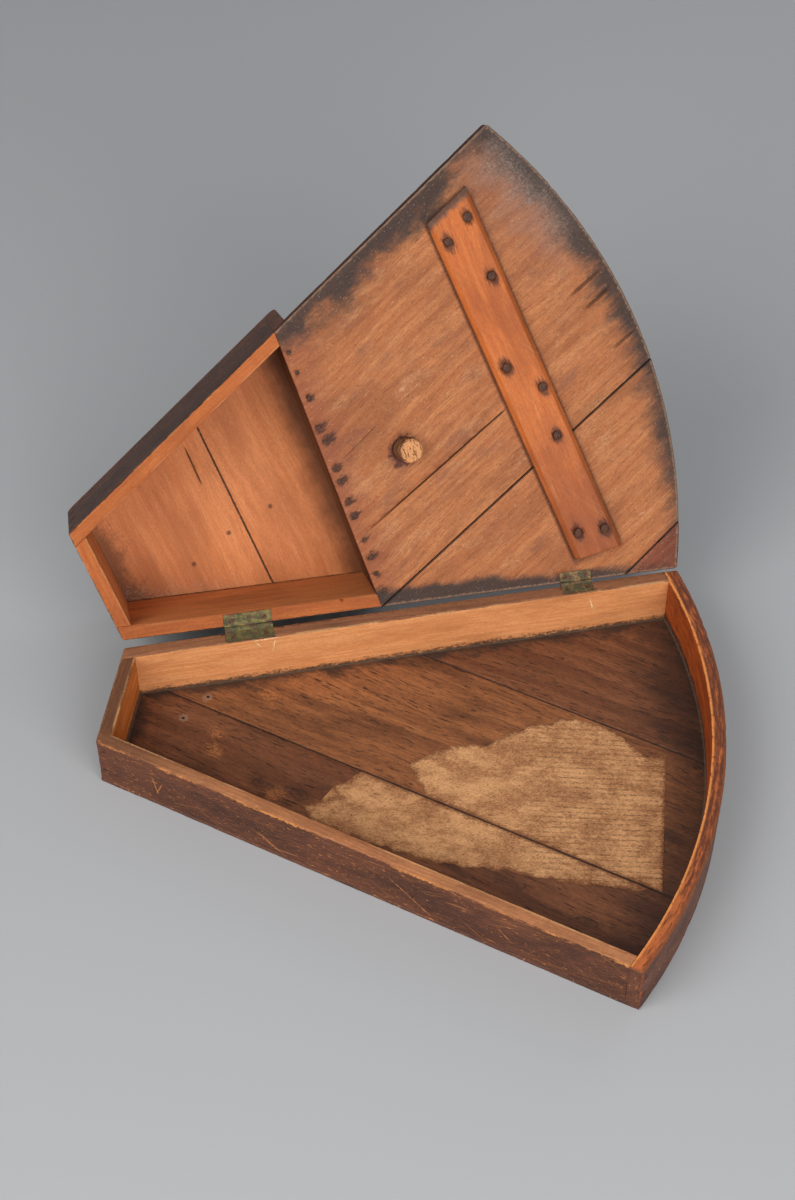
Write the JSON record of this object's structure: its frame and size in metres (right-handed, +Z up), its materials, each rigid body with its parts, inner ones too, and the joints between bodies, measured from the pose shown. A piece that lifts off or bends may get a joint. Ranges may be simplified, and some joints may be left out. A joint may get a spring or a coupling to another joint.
{
  "type": "instrument case",
  "caption": "Keystone wooden case with an arched wide end, for a mariner's octant; its hinged lid stands open, flat over the wide end and raised like a hood over the narrow end.",
  "frame": {"origin": "on the tray's underside, on the centre line, midway between the narrow end and the two wide corners", "axes": "+X along the case towards the arched end, +Y towards the hinge side, +Z up"},
  "size_m": [0.5413, 0.547, 0.3569],
  "materials": {
    "case_wood": "old varnished softwood, dark-stained outside, bare orange-brown inside",
    "floor_wood": "worn dark brown boards with open dark grain",
    "batten_wood": "worn orange-brown, rust stains round the nails",
    "peg_wood": "rough-cut pale end grain",
    "old_paper": "browned, torn and pasted down",
    "iron": "rusted wrought nails and screws",
    "brass": "dull, green with verdigris"
  },
  "bodies": {
    "tray": {"tray_front_rail": "case_wood", "tray_hinge_rail": "case_wood", "tray_end_rail": "case_wood", "tray_arc_rail": "case_wood", "floor_board_front": "floor_wood", "floor_board_middle": "floor_wood", "floor_board_hinge": "floor_wood", "paper_remnant": "old_paper", "floor_nails": "iron", "tray_corner_nails": "iron", "large_hinge_base_leaf": "brass", "large_hinge_base_screws": "iron", "large_hinge_pin": "brass", "small_hinge_base_leaf": "brass", "small_hinge_base_screws": "iron", "small_hinge_pin": "brass"},
    "lid": {"lid_front_rail": "case_wood", "lid_hinge_rail": "case_wood", "lid_end_rail": "case_wood", "step_wall": "case_wood", "hood_board_narrow": "case_wood", "hood_board_step": "case_wood", "flat_board_front": "case_wood", "flat_board_hinge": "case_wood", "flat_board_corner": "case_wood", "batten": "batten_wood", "batten_nails": "iron", "step_nails": "iron", "hood_board_nails": "iron", "hood_corner_nails": "iron", "chock_peg": "peg_wood", "large_hinge_lid_leaf": "brass", "large_hinge_lid_screws": "iron", "small_hinge_lid_leaf": "brass", "small_hinge_lid_screws": "iron"}
  },
  "joints": [
    {"name": "lid_hinge", "type": "hinge", "parent": "tray", "child": "lid", "pos_m": [-0.21305, 0.05052, 0.04865], "axis": [0.947, 0.3211, 0], "range_deg": [0, 123.1]}
  ]
}
